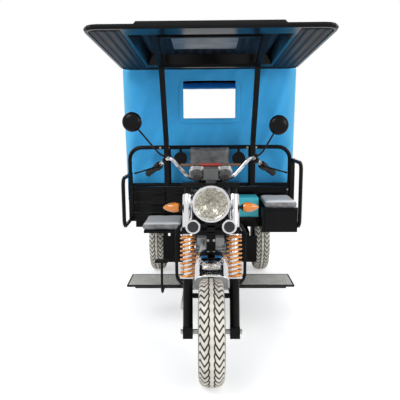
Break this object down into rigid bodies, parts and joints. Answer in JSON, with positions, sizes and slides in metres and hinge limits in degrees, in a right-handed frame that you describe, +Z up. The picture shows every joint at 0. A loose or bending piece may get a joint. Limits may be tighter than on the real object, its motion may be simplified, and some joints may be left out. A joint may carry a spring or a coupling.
{
  "type": "cargo motor tricycle with rider's roof and cloth cargo cover",
  "caption": "Three-wheeled cargo motorcycle with a sun roof over the rider and a cloth cover over its drop-gate cargo box.",
  "frame": {"origin": "on the ground, under the middle of the overall length and width", "axes": "-Y towards the front wheel, +X towards the rider's left hand, +Z up"},
  "size_m": [1.3028, 3.091, 1.9035],
  "materials": {
    "frame_black": "satin",
    "gloss_black": "gloss",
    "chrome": "polished",
    "steel": "brushed",
    "spring_gold": "metallic",
    "tyre_rubber": "matte",
    "black_rubber": "matte",
    "amber_lens": "gloss",
    "clear_lens": "faceted",
    "blue_cloth": "coated",
    "seat_vinyl": "satin",
    "grey_plate": "chequered",
    "teal_plastic": "satin",
    "cast_alloy": "cast"
  },
  "bodies": {
    "chassis": {"main_frame": "frame_black", "box_floor": "frame_black", "guard_rail": "frame_black", "guard_loop_left": "frame_black", "guard_loop_right": "frame_black", "brake_pedal": "frame_black", "roof_frame": "frame_black", "cover_hoops": "frame_black", "rear_axle": "frame_black", "leaf_spring_left": "frame_black", "leaf_spring_right": "frame_black", "tail_lamp_bar": "frame_black", "box_front_wall": "gloss_black", "box_side_left": "gloss_black", "box_side_right": "gloss_black", "roof": "gloss_black", "fuel_tank": "gloss_black", "tool_box": "gloss_black", "exhaust": "steel", "cargo_cover": "blue_cloth", "cover_roll": "blue_cloth", "saddle": "seat_vinyl", "backrest": "seat_vinyl", "side_seat_left": "seat_vinyl", "side_seat_right": "seat_vinyl", "footboard_left": "grey_plate", "footboard_right": "grey_plate", "battery_case": "teal_plastic", "engine": "cast_alloy"},
    "steering": {"front_axle": "steel", "fork_leg_left": "frame_black", "fork_leg_right": "frame_black", "fork_spring_left": "spring_gold", "fork_spring_right": "spring_gold", "fork_yokes": "frame_black", "handlebar": "chrome", "grip_left": "black_rubber", "grip_right": "black_rubber", "mirror_left": "frame_black", "mirror_right": "frame_black", "headlamp_bowl": "chrome", "headlamp_lens": "clear_lens", "horns": "chrome", "gauge_cluster": "black_rubber", "turn_signal_left": "amber_lens", "turn_signal_right": "amber_lens", "front_mudguard": "chrome"},
    "front_wheel": {"front_wheel_tyre": "tyre_rubber", "front_wheel_rim": "gloss_black"},
    "rear_left_wheel": {"rear_left_wheel_tyre": "tyre_rubber", "rear_left_wheel_rim": "gloss_black"},
    "rear_right_wheel": {"rear_right_wheel_tyre": "tyre_rubber", "rear_right_wheel_rim": "gloss_black"},
    "tailgate": {"tailgate": "gloss_black"}
  },
  "joints": [
    {"name": "steering_turn", "type": "hinge", "parent": "chassis", "child": "steering", "pos_m": [0, -1.09645, 0.79], "axis": [0, 0.2588, 0.9659], "range_deg": [-40, 40]},
    {"name": "front_wheel_spin", "type": "hinge", "parent": "steering", "child": "front_wheel", "pos_m": [0, -1.2665, 0.279], "axis": [1, 0, 0], "continuous": true},
    {"name": "rear_left_wheel_spin", "type": "hinge", "parent": "chassis", "child": "rear_left_wheel", "pos_m": [0.4825, 0.8105, 0.279], "axis": [1, 0, 0], "continuous": true},
    {"name": "rear_right_wheel_spin", "type": "hinge", "parent": "chassis", "child": "rear_right_wheel", "pos_m": [-0.4825, 0.8105, 0.279], "axis": [1, 0, 0], "continuous": true},
    {"name": "tailgate_drop", "type": "hinge", "parent": "chassis", "child": "tailgate", "pos_m": [0, 1.5345, 0.651], "axis": [-1, 0, 0], "range_deg": [0, 170]}
  ]
}
